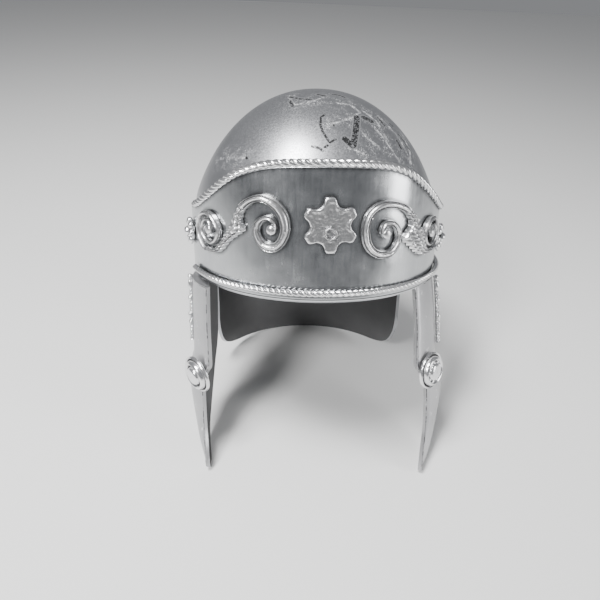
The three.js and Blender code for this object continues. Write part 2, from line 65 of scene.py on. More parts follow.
# %% [markdown]
# ## The helmet's own frame
#
# It is easier to shape a helmet that stands upright: its front towards -Y, its brow's lower cord
# at height 0. One matrix then leans it back until it stands on its three rests. The lean is given
# by the direction, in the upright helmet, that points straight up from the table.

# %% From the upright helmet to the table
mm = 0.001
table_up = Vector((0.01105, -0.29120, 0.95660))
helmet_place = Vector((-4.23, 2.85, 165.86))
lean = table_up.rotation_difference(Vector((0, 0, 1))).to_matrix().to_4x4()
to_table = Matrix.Scale(mm, 4) @ Matrix.Translation(helmet_place) @ lean
print("lean in degrees:", round(math.degrees(table_up.angle(Vector((0, 0, 1)))), 2))

# %% [markdown]
# ## The camera
#
# The photograph was taken with a phone from a little above the brow. The camera's place is known
# from the helmet's outlines, so it is written in the helmet's frame too. A lens is wide when its
# focal length is short: 30 mm on a 36 mm sensor.

# %% Camera
camera_place = Vector((-37.7, -466.2, 130.1))
camera_forward = Vector((0.0516, 0.9325, -0.3574)).normalized()
camera_roll = math.radians(1.13)
camera_focal_pixels = 500
picture_size = 600

flat_right = camera_forward.cross(Vector((0, 0, 1))).normalized()
flat_up = flat_right.cross(camera_forward)
camera_right = flat_right * math.cos(camera_roll) + flat_up * math.sin(camera_roll)
camera_up = flat_up * math.cos(camera_roll) - flat_right * math.sin(camera_roll)



def put_in_scene(name, data):
    piece = bpy.data.objects.new(name, data)
    bpy.context.collection.objects.link(piece)
    return piece


camera_data = bpy.data.cameras.new("camera")
camera_data.sensor_width = 36
camera_data.lens = camera_data.sensor_width * camera_focal_pixels / picture_size
camera_data.clip_start = 0.01
camera = put_in_scene("camera", camera_data)
turn = Matrix((camera_right, camera_up, -camera_forward)).transposed().to_4x4()
camera.matrix_world = (Matrix.Translation(to_table @ camera_place) @ lean @ turn)
bpy.context.scene.camera = camera
print("camera at", [round(c, 3) for c in camera.matrix_world.translation])

# %% [markdown]
# ## Helpers for shapes
#
# A horizontal section of the head is a rounded oval, slightly squarer than an ellipse. Tables give
# values at a few places, and a smooth curve runs through them.

# %% Sections and tables
plan_power = 2.06
both_sides = (("left", -1), ("right", 1))


def mix(a, b, t):
    return a + (b - a) * t


def hump(value, middle, width):
    return math.exp(-((value - middle) / width) ** 2)


def around(radius, angle):
    return Vector((radius * math.cos(angle), radius * math.sin(angle)))


def plan_point(angle, half, front, back, offset, z):
    s, c = math.sin(angle), math.cos(angle)
    depth = front if c > 0 else back
    power = 2 / plan_power
    x = half * math.copysign(abs(s) ** power, s)
    y = -depth * math.copysign(abs(c) ** power, c)
    normal = Vector((
        math.copysign(abs(x / half) ** (plan_power - 1), x) / half,
        math.copysign(abs(y / depth) ** (plan_power - 1), y) / depth,
    )).normalized()
    return Vector((x + normal.x * offset, y + normal.y * offset, z))


def row_at(table, place):
    i = 0
    while i < len(table) - 2 and table[i + 1][0] < place:
        i += 1
    before, a = table[max(i - 1, 0)], table[i]
    b, after = table[i + 1], table[min(i + 2, len(table) - 1)]
    t = min(max((place - a[0]) / (b[0] - a[0]), 0), 1)
    step = b[0] - a[0]
    row = []
    for k, value in enumerate(a):
        slope_a = (b[k] - before[k]) / (b[0] - before[0]) * step
        slope_b = (after[k] - value) / (after[0] - a[0]) * step
        row.append((2 * t**3 - 3 * t**2 + 1) * value + (t**3 - 2 * t**2 + t) * slope_a
                   + (3 * t**2 - 2 * t**3) * b[k] + (t**3 - t**2) * slope_b)
    return row


# %% Meshes and finished pieces
def mesh_object(name, points, faces, smooth=True):
    mesh = bpy.data.meshes.new(name)
    mesh.from_pydata([to_table @ p for p in points], [], faces)
    mesh.update()
    if smooth:
        mesh.shade_smooth()
    return put_in_scene(name, mesh)


def add_values(piece, name, values):
    layer = piece.data.attributes.new(name, "FLOAT", "POINT")
    layer.data.foreach_set("value", values)


def face_outwards(mesh):
    shell = bmesh.new()
    shell.from_mesh(mesh)
    bmesh.ops.recalc_face_normals(shell, faces=shell.faces)
    if shell.calc_volume(signed=True) < 0:
        bmesh.ops.reverse_faces(shell, faces=shell.faces)
    shell.to_mesh(mesh)
    shell.free()


def bake_modifiers(piece):
    graph = bpy.context.evaluated_depsgraph_get()
    plain = bpy.data.meshes.new_from_object(piece.evaluated_get(graph))
    piece.modifiers.clear()
    piece.data = plain


def finish_piece(piece, node):
    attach(piece, "root")
    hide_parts(node)
    print(piece.name, "has", len(piece.data.polygons), "faces")


# Closed sheet between two grids of points with the same rows and columns
def sheet_faces(rows, cols):
    def at(side, i, j):
        return side * rows * cols + i * cols + j

    faces = []
    for i in range(rows - 1):
        for j in range(cols - 1):
            faces.append((at(0, i, j), at(0, i + 1, j), at(0, i + 1, j + 1), at(0, i, j + 1)))
            faces.append((at(1, i, j), at(1, i, j + 1), at(1, i + 1, j + 1), at(1, i + 1, j)))
        for side, j in ((0, 0), (1, cols - 1)):
            other = 1 - side
            faces.append((at(side, i, j), at(other, i, j), at(other, i + 1, j), at(side, i + 1, j)))
    for j in range(cols - 1):
        for side, i in ((0, 0), (1, rows - 1)):
            other = 1 - side
            faces.append((at(side, i, j), at(side, i, j + 1), at(other, i, j + 1), at(other, i, j)))
    return faces


# Closed tube through rings of points, its ends closed by one face each
def loft_faces(rings, count):
    faces = []
    for i in range(rings - 1):
        for j in range(count):
            k = (j + 1) % count
            faces.append((i * count + j, i * count + k, (i + 1) * count + k, (i + 1) * count + j))
    faces.append(tuple(range(count))[::-1])
    faces.append(tuple((rings - 1) * count + j for j in range(count)))
    return faces


print("helpers ready")

# %% [markdown]
# ## Helpers for materials
#
# Paint colours are given as sRGB hex values, but a shader works in linear light, so one function converts
# them. The others add a node with its settings and links, and return the output that is wanted from it.

# %% Node and colour helpers
def linear(hex_colour):
    channels = [int(hex_colour[i:i + 2], 16) / 255 for i in (1, 3, 5)]
    return [c / 12.92 if c <= 0.04045 else ((c + 0.055) / 1.055) ** 2.4 for c in channels] + [1]


def add_node(tree, kind, sockets=None, **settings):
    node = tree.nodes.new(kind)
    for key, value in settings.items():
        setattr(node, key, value)
    for key, value in (sockets or {}).items():
        if isinstance(value, bpy.types.NodeSocket):
            tree.links.new(value, node.inputs[key])
        else:
            node.inputs[key].default_value = value
    return node


def output_of(tree, kind, sockets=None, **settings):
    return add_node(tree, kind, sockets, **settings).outputs[0]


def arithmetic(tree, operation, *values, **settings):
    return output_of(tree, "ShaderNodeMath", dict(enumerate(values)), operation=operation, **settings)


def vectors(tree, operation, a, b):
    return add_node(tree, "ShaderNodeVectorMath", {0: a, 1: b}, operation=operation)


def spots(tree, place, scale, detail, **sockets):
    sockets |= {"Vector": place, "Scale": scale, "Detail": detail}
    return output_of(tree, "ShaderNodeTexNoise", sockets)


def remap(tree, value, low, high, start=0.0, stop=1.0):
    """Moves the range low to high onto the range start to stop, and keeps within it."""
    return output_of(tree, "ShaderNodeMapRange", {
        "Value": value, "From Min": low, "From Max": high, "To Min": start, "To Max": stop})


def blend(tree, share, a, b):
    return add_node(tree, "ShaderNodeMix", {0: share, 6: a, 7: b}, data_type="RGBA").outputs[2]


def stored(tree, name):
    return add_node(tree, "ShaderNodeAttribute", attribute_name=name).outputs["Fac"]


def larger(tree, a, b):
    return arithmetic(tree, "MAXIMUM", a, b)


def product(tree, a, b):
    return arithmetic(tree, "MULTIPLY", a, b)


def new_material(name):
    material = bpy.data.materials.new(name)
    material.use_nodes = True
    tree = material.node_tree
    shader = tree.nodes["Principled BSDF"]
    place = add_node(tree, "ShaderNodeTexCoord").outputs["Object"]
    return material, tree, shader, place


def set_shader(tree, shader, height, bump_mm, **values):
    """Sets the shader's sockets, and its bumps from a height."""
    bump = {"Height": height, "Distance": bump_mm * mm, "Strength": 1.0}
    for key, value in {**values, "Normal": output_of(tree, "ShaderNodeBump", bump)}.items():
        socket = shader.inputs[key.replace("_", " ")]
        if isinstance(value, bpy.types.NodeSocket):
            tree.links.new(value, socket)
        else:
            socket.default_value = value


# %% [markdown]
# A scuff runs along a line on the surface. The shader needs each point's distance to that line, so
# one node group works it out for a line between two points.

# %% Distance to a stroke
stroke_group = bpy.data.node_groups.new("distance to a stroke", "ShaderNodeTree")
for socket in ("Point", "Start", "End"):
    stroke_group.interface.new_socket(socket, in_out="INPUT", socket_type="NodeSocketVector")
stroke_group.interface.new_socket("Distance", in_out="OUTPUT", socket_type="NodeSocketFloat")
inside = stroke_group.nodes.new("NodeGroupInput").outputs
along = vectors(stroke_group, "SUBTRACT", inside["End"], inside["Start"]).outputs[0]
away = vectors(stroke_group, "SUBTRACT", inside["Point"], inside["Start"]).outputs[0]
reach = vectors(stroke_group, "DOT_PRODUCT", away, along).outputs["Value"]
length = vectors(stroke_group, "DOT_PRODUCT", along, along).outputs["Value"]
share = arithmetic(stroke_group, "DIVIDE", reach, length, use_clamp=True)
foot = output_of(stroke_group, "ShaderNodeVectorMath", {0: along, "Scale": share}, operation="SCALE")
gap = vectors(stroke_group, "DISTANCE", away, foot)
outside = stroke_group.nodes.new("NodeGroupOutput")
stroke_group.links.new(gap.outputs["Value"], outside.inputs["Distance"])
print("stroke group has", len(stroke_group.nodes), "nodes")


# %% Masks
def nearest_stroke(tree, place, strokes):
    """Distance in metres to the nearest of the strokes, each a pair of points."""
    nearest = None
    for start, end in strokes:
        group = add_node(tree, "ShaderNodeGroup", node_tree=stroke_group)
        tree.links.new(place, group.inputs["Point"])
        group.inputs["Start"].default_value = start
        group.inputs["End"].default_value = end
        distance = group.outputs["Distance"]
        nearest = distance if nearest is None else arithmetic(tree, "MINIMUM", nearest, distance)
    return nearest


def fade(tree, value, low, high):
    """1 where the value is below low, 0 above high."""
    return remap(tree, value, low, high, 1.0, 0.0)


def patches(tree, place, size_mm, low, high):
    """Noise spots: 0 below low, 1 above high."""
    return remap(tree, spots(tree, place, 1 / (size_mm * mm), 5.0, Roughness=0.65), low, high)


print("mask helpers ready")

# %% [markdown]
# ## The skull
#
# A skull is one moulded shell: a dome that runs down into a neck guard, cut away over the face and
# the ears. It is made as a tube of rings that goes down the outside and comes back up the inside.
# A prism with the side view's outline then cuts the opening with a Boolean, which keeps the rim
# crisp. The inside keeps the bare plastic, so its faces get their own material.

# %% Skull sizes, in millimetres
seat_gap = 0.3
band_half = 112
band_reach = 111.4
band_wall = 2.8
band_height = 95.5
band_lip = 8
band_end = math.radians(88)
rim_drop = band_lip + 1.6
skull_wall = 3
skull_half = band_half - band_wall - seat_gap
skull_front = band_reach - band_wall - seat_gap
back_reach = 118
dome_height = 146.5
dome_spread = 1.08
dome_power_up = 1.86
dome_power_out = 2.11
neck_drop = 133.5
neck_front = 43
neck_corner_round = 50
neck_root_round = 14
skull_columns = 200
dome_rows = 50
dome_softenings = 8
wall_rows = 14
neck_rows = 40

# share of the neck guard's drop, share of the width, share of the back's reach
neck_levels = [
    (0, 1, 1),
    (0.11, 1, 1),
    (0.28, 0.992, 0.99),
    (0.5, 0.985, 0.985),
    (0.7, 0.985, 1.01),
    (0.84, 0.994, 1.045),
    (0.94, 1.012, 1.09),
    (1, 1.028, 1.125),
    (1.04, 1.036, 1.145),
]


# Rows of half width, front reach, back reach and height, from the crown down
def skull_profile(inset):
    end = math.asin((1 / dome_spread) ** (dome_power_out / 2))
    rows = []
    for i in range(dome_rows):
        turn_angle = mix(0.004, end, i / (dome_rows - 1))
        height = math.cos(turn_angle) ** (2 / dome_power_up)
        share = dome_spread * math.sin(turn_angle) ** (2 / dome_power_out)
        thin = inset * min(1, share * 1.4)
        lower = inset * max(0, height - 0.5) * 2
        rows.append([skull_half * share - thin, skull_front * share - thin, back_reach * share - thin,
                     dome_height * height - lower])
    foot = rows[-1][3]
    for i in range(1, wall_rows):
        height = foot * (1 - i / wall_rows)
        rows.append([skull_half - inset, skull_front - inset, back_reach - inset, height])
    for i in range(neck_rows + 1):
        drop, width, reach = row_at(neck_levels, neck_levels[-1][0] * i / neck_rows)
        rows.append([skull_half * width - inset, skull_front - inset, back_reach * reach - inset,
                     -neck_drop * drop])
    # the dome meets the upright wall softly
    for _ in range(dome_softenings):
        rows = [rows[0]] + [
            [mix(b[k], (a[k] + c[k]) / 2, 0.5) if 15 < b[3] < 90 else b[k] for k in range(4)]
            for a, b, c in zip(rows, rows[1:], rows[2:])
        ] + [rows[-1]]
    return rows


skull_rings = [skull_profile(0), skull_profile(skull_wall)[::-1]]
skull_points = []
for rows in skull_rings:
    for half, front, back, z in rows:
        for j in range(skull_columns):
            skull_points.append(plan_point(2 * math.pi * j / skull_columns, half, front, back, 0, z))
skull_ring_count = len(skull_rings[0]) + len(skull_rings[1])
skull = mesh_object("skull_shell", skull_points, loft_faces(skull_ring_count, skull_columns))
inner_start = len(skull_rings[0]) * skull_columns
for polygon in skull.data.polygons:
    if min(polygon.vertices) >= inner_start:
        polygon.material_index = 1
print("skull rings:", skull_ring_count)


# %% Face opening
def arc(middle_y, middle_z, radius, start, stop, steps=24):
    return [Vector((middle_y, middle_z)) + around(radius, mix(start, stop, i / steps))
            for i in range(steps + 1)]


far = 260
outline = [(-far, -rim_drop)]
outline += arc(neck_front - neck_root_round, -rim_drop - neck_root_round, neck_root_round, math.pi / 2, 0)
outline += arc(neck_front + neck_corner_round, -neck_drop + neck_corner_round, neck_corner_round,
               math.pi, 1.5 * math.pi)
outline += [(far, -neck_drop), (far, -far), (-far, -far)]
cutter_points = [Vector((x, y, z)) for x in (-far, far) for y, z in outline]
cutter = mesh_object("face_opening", cutter_points, loft_faces(2, len(outline)), smooth=False)
face_outwards(skull.data)
face_outwards(cutter.data)

cut = skull.modifiers.new("face opening", "BOOLEAN")
cut.operation = "DIFFERENCE"
cut.solver = "EXACT"
cut.object = cutter
bake_modifiers(skull)
bpy.data.objects.remove(cutter)
print("skull faces after the cut:", len(skull.data.polygons))

# %% [markdown]
# ## The brow band
#
# A thin upright plate bent round the brow, highest in front. A grid of points is enough: columns
# run round the head and rows run up. Two numbers are stored at every point, its place along the
# band and its height, so that the polish marks can run straight up the band.

# %% Brow band
rope_top_radius = 3
rope_bottom_radius = 2.5

# angle from the front in degrees, share of the band's height
band_edge = [
    (0, 1),
    (12, 0.995),
    (20, 0.982),
    (26, 0.958),
    (34, 0.905),
    (42, 0.82),
    (53, 0.69),
    (63, 0.595),
    (75, 0.545),
    (90, 0.52),
]


def band_point(angle, offset, z):
    return plan_point(angle, band_half, band_reach, band_reach, offset, z)


def band_top(angle):
    return band_height * row_at(band_edge, abs(math.degrees(angle)))[1]


band_columns = 260
band_rows = 60
band_grids = []
for offset in (0, -band_wall):
    for i in range(band_rows + 1):
        for j in range(band_columns + 1):
            angle = mix(-band_end, band_end, j / band_columns)
            top = band_top(angle) - rope_top_radius - seat_gap
            z = mix(-band_lip, top, i / band_rows)
            # the outer face rounds off towards its lower edge
            edge = 0.9 * max(0, 1 - (z + band_lip) / 1.4) ** 2 if offset == 0 else 0
            band_grids.append((angle, band_point(angle, offset - edge, z)))
band = mesh_object("brow_plate", [p for _, p in band_grids], sheet_faces(band_rows + 1, band_columns + 1))
add_values(band, "along", [angle * band_half * mm for angle, _ in band_grids])
add_values(band, "up", [p.z * mm for _, p in band_grids])
face_outwards(band.data)
print("band columns:", band_columns)

# %% [markdown]
# ## Twisted cords
#
# A cord is the same thing all along: a few strands wound round one line. That is a rule, so it
# suits Geometry Nodes. The line becomes a curve, the curve is given a tilt that grows with its
# length, and a profile of small circles is swept along it. Changing three inputs gives any cord.


# %% Cord tree
def geometry_tree(name, inputs):
    tree = bpy.data.node_groups.new(name, "GeometryNodeTree")
    tree.interface.new_socket("Geometry", in_out="INPUT", socket_type="NodeSocketGeometry")
    for label, kind in inputs:
        tree.interface.new_socket(label, in_out="INPUT", socket_type=kind)
    tree.interface.new_socket("Geometry", in_out="OUTPUT", socket_type="NodeSocketGeometry")
    return tree, tree.nodes.new("NodeGroupInput").outputs, tree.nodes.new("NodeGroupOutput").inputs


def end_tree(tree, geometry, given, result):
    """Every tree ends with real geometry in the material that it is given."""
    geometry = output_of(tree, "GeometryNodeRealizeInstances", {"Geometry": geometry})
    sockets = {"Geometry": geometry, "Material": given["Material"]}
    tree.links.new(output_of(tree, "GeometryNodeSetMaterial", sockets), result["Geometry"])


def run_tree(piece, tree, **values):
    modifier = piece.modifiers.new(tree.name, "NODES")
    modifier.node_group = tree
    for item in tree.interface.items_tree:
        if item.in_out == "INPUT" and item.name in values:
            modifier[item.identifier] = values[item.name]
    bake_modifiers(piece)


# a strand's radius as a share of the cord's
strand_thickness = 0.58
strand_sides = 12

cord_tree, given, result = geometry_tree("twisted cord", [
    ("Strands", "NodeSocketInt"),
    ("Radius", "NodeSocketFloat"),
    ("Lay", "NodeSocketFloat"),
    ("Step", "NodeSocketFloat"),
    ("Material", "NodeSocketMaterial"),
])
line = output_of(cord_tree, "GeometryNodeMeshToCurve", {"Mesh": given["Geometry"]})
line = output_of(cord_tree, "GeometryNodeResampleCurve", {"Curve": line, "Length": given["Step"]},
                 mode="LENGTH")
run = add_node(cord_tree, "GeometryNodeSplineParameter").outputs["Length"]
tilt = arithmetic(cord_tree, "MULTIPLY", arithmetic(cord_tree, "DIVIDE", run, given["Lay"]), 2 * math.pi)
line = output_of(cord_tree, "GeometryNodeSetCurveTilt", {"Curve": line, "Tilt": tilt})
strand_radius = arithmetic(cord_tree, "MULTIPLY", given["Radius"], strand_thickness)
strand_out = arithmetic(cord_tree, "MULTIPLY", given["Radius"], 1 - strand_thickness)
places = output_of(cord_tree, "GeometryNodeMeshCircle",
                   {"Vertices": given["Strands"], "Radius": strand_out})
section = output_of(cord_tree, "GeometryNodeCurvePrimitiveCircle",
                    {"Resolution": strand_sides, "Radius": strand_radius})
profile = output_of(cord_tree, "GeometryNodeInstanceOnPoints", {"Points": places, "Instance": section})
profile = output_of(cord_tree, "GeometryNodeRealizeInstances", {"Geometry": profile})
sweep = output_of(cord_tree, "GeometryNodeCurveToMesh",
                  {"Curve": line, "Profile Curve": profile, "Fill Caps": True})
sweep = output_of(cord_tree, "GeometryNodeSetShadeSmooth", {"Geometry": sweep})
end_tree(cord_tree, sweep, given, result)


def cord(name, points, strands, radius, lay, material):
    piece = mesh_object(name, points, [])
    piece.data.clear_geometry()
    piece.data.from_pydata([to_table @ p for p in points], [(i, i + 1) for i in range(len(points) - 1)], [])
    run_tree(piece, cord_tree, Strands=strands, Radius=radius * mm, Lay=lay * mm, Step=0.7 * mm,
             Material=material)
    return piece


print("cord tree has", len(cord_tree.nodes), "nodes")

# %% [markdown]
# ## Cast ornament
#
# Cast ornament is painted brighter on its crests and darker in its hollows: a painted highlight and painted
# shade. Every ornament gets a number per point that says how far it stands out from its neighbours. The
# material reads that number.


# %% Crest values
# The relief paint turns this crest value into painted shade in the hollows and a painted highlight on the
# crests.
def add_crest(piece, spread):
    """Stores 0 in hollows and 1 on crests; spread is the size in metres that counts as full."""
    shell = bmesh.new()
    shell.from_mesh(piece.data)
    bmesh.ops.remove_doubles(shell, verts=shell.verts, dist=1e-6)
    shell.to_mesh(piece.data)
    shell.normal_update()
    bend = []
    for vertex in shell.verts:
        near = [edge.other_vert(vertex).co for edge in vertex.link_edges]
        middle = sum(near, Vector()) / max(len(near), 1)
        bend.append((vertex.co - middle).dot(vertex.normal))
    for _ in range(2):
        bend = [(bend[v.index] + sum(bend[e.other_vert(v).index] for e in v.link_edges))
                / (1 + len(v.link_edges)) for v in shell.verts]
    shell.free()
    add_values(piece, "crest", [min(max(0.5 + b / spread, 0), 1) for b in bend])


def joined(name, meshes):
    """One piece from (mesh, matrix) pairs."""
    whole = bmesh.new()
    for mesh, matrix in meshes:
        part = mesh.copy()
        part.transform(matrix)
        whole.from_mesh(part)
        bpy.data.meshes.remove(part)
    mesh = bpy.data.meshes.new(name)
    whole.to_mesh(mesh)
    whole.free()
    mesh.shade_smooth()
    return put_in_scene(name, mesh)


print("ornament helpers ready")

# %% [markdown]
# ## Materials
#
# Silver spray paint is tiny metal flakes in lacquer: a metal with a soft, satin reflection. Where it has
# rubbed off, the dark plastic below shows, which isn't a metal at all. So each paint is one shader whose
# colour and metalness switch together through the same masks; its roughness follows a fine grain.

# %% Paint over plastic
plastic_colour = linear("#1d1d1e")


def painted(name, paint, dark_paint, roughness, metallic, mask_of, grain_mm, bump_mm):
    """Silver paint with slow changes of tone; mask_of returns the bare and the pale patches, 0 to 1."""
    material, tree, shader, place = new_material(name)
    tone = blend(tree, spots(tree, place, 28.0, 4.0), linear(dark_paint), linear(paint))
    bare, lift = mask_of(tree, place)
    colour = blend(tree, bare, blend(tree, lift, tone, linear("#ffffff")), plastic_colour)
    grain = spots(tree, place, 1 / (grain_mm * mm), 3.0)
    set_shader(tree, shader, grain, bump_mm, Base_Color=colour,
               Metallic=remap(tree, larger(tree, bare, lift), 0.0, 1.0, metallic, 0.0),
               Roughness=remap(tree, grain, 0.3, 0.7, roughness - 0.06, roughness + 0.08))
    return material


# %% [markdown]
# The scuffs' places come from the photograph: each stroke is two pixels of its picture, and a ray
# from the camera through a pixel meets the dome where the scuff is. The mask is the distance to the
# nearest stroke, broken up by noise.

# %% Strokes seen in the photograph, as pixels of the picture
dark_thin = [
    [(325, 114.3), (320.8, 117.5), (320.5, 125), (322.5, 131.3), (326.3, 137.5), (330, 142.5),
     (335.5, 139.3)],
    [(312.5, 146.3), (318.8, 148), (322.5, 150.5)],
    [(325, 147), (327.5, 145.5)],
    [(333.5, 125), (334, 126)],
    [(397.5, 133.8), (405, 142.5)],
    [(390, 123.8), (392.5, 126)],
    [(406, 145), (408.8, 148.8)],
    [(246, 157.5), (247, 158.5)],
]
dark_thick = [
    [(357, 117), (356, 130), (353.5, 145)],
    [(345, 139), (352.5, 145.5)],
    [(363.8, 117.5), (371, 121)],
]
dark_edge = [
    [(290, 101), (292.5, 106)],
    [(290, 97), (300, 99), (311, 99.5)],
    [(318, 94.5), (325, 96)],
    [(331, 94), (340, 95.5), (346, 98)],
    [(378, 118), (384, 125)],
    [(397, 141), (401, 148)],
]
pale_lines = [
    [(326.3, 126.8), (337.5, 122.5), (352.5, 117.5), (360, 112.5)],
    [(337.5, 103), (350, 105), (358.8, 111)],
    [(362.5, 111), (375, 120), (387.5, 140)],
    [(375, 127.5), (390, 147.5), (400, 162.5)],
    [(380, 117.5), (400, 140), (411, 162.5)],
    [(365, 136), (380, 148.8)],
    [(355, 150), (363.8, 153.8)],
    [(405, 140), (410, 152.5), (410, 163.8)],
    [(288.8, 97.5), (295, 105), (307.5, 102.5), (320, 98.8)],
    [(220, 158.8), (245, 157.5)],
]
skull_tree = BVHTree.FromPolygons([v.co for v in skull.data.vertices],
                                  [tuple(p.vertices) for p in skull.data.polygons])


def seen_at(x, y):
    """Point of the skull under a pixel of the picture."""
    middle = picture_size / 2
    ray = (camera_forward + camera_right * (x - middle) / camera_focal_pixels
           - camera_up * (y - middle) / camera_focal_pixels)
    origin = camera.matrix_world.translation
    hit = skull_tree.ray_cast(origin, (lean.to_3x3() @ ray).normalized())[0]
    return hit


def strokes_on_skull(table):
    pairs = []
    for line in table:
        ends = [seen_at(x, y) for x, y in line]
        pairs += [(a, b) for a, b in zip(ends, ends[1:]) if a is not None and b is not None]
    return pairs


def dome_marks(tree, place):
    """Bare scuffs and pale scratches of the dome."""
    bare = None
    for table, full, none in ((dark_thin, 0.8, 1.5), (dark_thick, 2.2, 3.6), (dark_edge, 1.0, 2.4)):
        strokes = fade(tree, nearest_stroke(tree, place, strokes_on_skull(table)), full * mm, none * mm)
        bare = strokes if bare is None else larger(tree, bare, strokes)
    bare = larger(tree, product(tree, bare, patches(tree, place, 1.4, 0.38, 0.46)),
                  patches(tree, place, 3.2, 0.73, 0.75))
    pale_reach = nearest_stroke(tree, place, strokes_on_skull(pale_lines))
    uneven = arithmetic(tree, "MULTIPLY_ADD", spots(tree, place, 260.0, 4.0), -5.0 * mm, pale_reach)
    lines = fade(tree, uneven, -2.6 * mm, -0.9 * mm)
    scratches = product(tree, lines, patches(tree, place, 1.1, 0.42, 0.6))
    haze = product(tree, fade(tree, pale_reach, 3.0 * mm, 14.0 * mm), patches(tree, place, 0.9, 0.53, 0.62))
    haze = product(tree, haze, patches(tree, place, 7.0, 0.45, 0.6))
    return bare, product(tree, larger(tree, scratches, haze), 0.75)


dome_paint = painted("silver spray paint, satin, rubbed to the plastic", "#c2c3c6", "#a6a7aa", 0.34, 0.95,
                     dome_marks, 1.2, 0.02)
print("dome paint nodes:", len(dome_paint.node_tree.nodes))


# %% Guard, relief, band and plastic
def guard_marks(tree, place):
    """Chips just inside the guards' edges, from the stored distance to the edge, and painted shade next to
    the cord and the boss.
    """
    rim = stored(tree, "rim")
    near, edge = fade(tree, rim, 0.75 * mm, 1.1 * mm), fade(tree, rim, 0.2 * mm, 0.45 * mm)
    near = arithmetic(tree, "SUBTRACT", near, edge, use_clamp=True)
    chips = product(tree, near, patches(tree, place, 7.0, 0.47, 0.55))
    # Painted shade: next to its cord and boss, the guard goes to the dark plastic colour, broken up by
    # noise.
    dirt_and_shade = product(tree, stored(tree, "contact_shade"), patches(tree, place, 3.0, 0.3, 0.6))
    bare = larger(tree, larger(tree, chips, patches(tree, place, 2.4, 0.74, 0.76)), dirt_and_shade)
    return bare, patches(tree, place, 9.0, 0.62, 0.8)


guard_paint = painted("silver-grey spray paint, worn, chipped at the edges", "#bebebf", "#9c9c9f",
                      0.36, 0.85, guard_marks, 1.0, 0.025)

# Painted shade and painted highlight: the crest value, with a little noise, darkens the hollows towards
# #3c3c3e and lightens the crests towards #e6e6e7. It also makes the hollows less metallic and rougher.
relief_paint, tree, shader, place = new_material("silver paint on cast relief, dark in the hollows")
dirt_and_shade = spots(tree, place, 450.0, 3.0)
worn_and_shaded = remap(tree, arithmetic(tree, "MULTIPLY_ADD", dirt_and_shade, 0.5, stored(tree, "crest")), 0.45, 0.95)
set_shader(tree, shader, dirt_and_shade, 0.12, Base_Color=blend(tree, worn_and_shaded, linear("#3c3c3e"), linear("#e6e6e7")),
           Roughness=remap(tree, worn_and_shaded, 0.0, 1.0, 0.5, 0.2), Metallic=remap(tree, worn_and_shaded, 0.0, 0.4, 0.3, 0.95))

band_metal, tree, shader, place = new_material(
    "silver paint polished almost to a mirror, faint upright rubs")
up = stored(tree, "up")
flat_place = output_of(tree, "ShaderNodeCombineXYZ", {0: stored(tree, "along"), 1: up})
stretched = vectors(tree, "MULTIPLY", flat_place, (420.0, 26.0, 1.0)).outputs[0]
smudge = spots(tree, flat_place, 38.0, 5.0, Roughness=0.6)
mark = arithmetic(tree, "MULTIPLY_ADD", spots(tree, stretched, 1.0, 4.0), 0.35, smudge)
tone = blend(tree, remap(tree, mark, 0.45, 0.9), linear("#aeb0b2"), linear("#c6c8ca"))
# A dark line painted along the band, 6.1 mm below the middle of the lower cord.
from_dark_line = arithmetic(tree, "ABSOLUTE", arithmetic(tree, "ADD", up, 6.1 * mm))
# Painted shade where the ornaments meet the band, joined with the dark line above, darkens the band towards
# #3c3c3d.
dirt_and_shade = larger(tree, stored(tree, "contact_shade"), fade(tree, from_dark_line, 0.2 * mm, 0.6 * mm))
set_shader(tree, shader, spots(tree, flat_place, 900.0, 2.0), 0.015,
           Base_Color=blend(tree, dirt_and_shade, tone, linear("#3c3c3d")), Metallic=1.0,
           Roughness=remap(tree, mark, 0.45, 0.95, 0.16, 0.32))

inner_plastic, tree, shader, place = new_material("dark moulded plastic, matt")
tone = blend(tree, spots(tree, place, 35.0, 4.0), linear("#464647"), linear("#5c5c5d"))
set_shader(tree, shader, spots(tree, place, 900.0, 2.0), 0.03, Base_Color=tone, Roughness=0.45)
for piece, materials in ((skull, (dome_paint, inner_plastic)), (band, (band_metal,))):
    for material in materials:
        piece.data.materials.append(material)
print("materials:", len(bpy.data.materials))

# %% [markdown]
# ## The two cords of the band
#
# The upper cord rides on the band's top edge and the lower one lies on its face, so each follows
# its own line round the head.

# %% Cords
rope_left_end = math.radians(67.5)
rope_steps = 160
angles = [mix(-rope_left_end, band_end, j / rope_steps) for j in range(rope_steps + 1)]
rope_lines = {
    "top": [band_point(a, rope_top_radius - band_wall, band_top(a)) for a in angles],
    "bottom": [band_point(a, seat_gap + rope_bottom_radius, 0) for a in angles],
}
# strands, radius and length of one turn
rope_makes = {"top": (3, rope_top_radius, 17), "bottom": (3, rope_bottom_radius, 14)}
ropes = {key: cord(f"cord_{key}", line, *rope_makes[key], relief_paint) for key, line in rope_lines.items()}
# The crest values paint shade between the cords' strands and a painted highlight on their tops.
for piece in ropes.values():
    add_crest(piece, 0.12 * mm)

# %% [markdown]
# ## Scrolls
#
# An S-scroll is drawn flat, as places along and up the band, and each place is then wrapped round
# the band's face. The ribbon's section has two raised edges and a groove between them. The leaf
# between the spirals is folded, so its section has more ridges and its edge is notched.

# %% Scrolls
scroll_relief = 5
scroll_gap = 0.5
knob_radius = 3.8
knob_sides = 24
scroll_steps = {"large": 240, "small": 160, "leaf": 110}
leaf_notch = 0.12
notch_spacing = 4.6
half_section = [(0.25, 0.95), (0.5, 0.75), (0.68, 0.5), (0.8, 0.66), (0.92, 0.7), (1, 0.55), (1, 0)]
ribbon_section = [(-across, rise) for across, rise in half_section[::-1]] + [(0, 1)] + half_section
leaf_section = [(-1, 0)] + [
    (a / 10, (1 - abs(a / 10) ** 5) * (0.84 + 0.16 * math.cos(a / 10 * 3 * math.pi))) for a in range(-9, 10)
] + [(1, 0)]

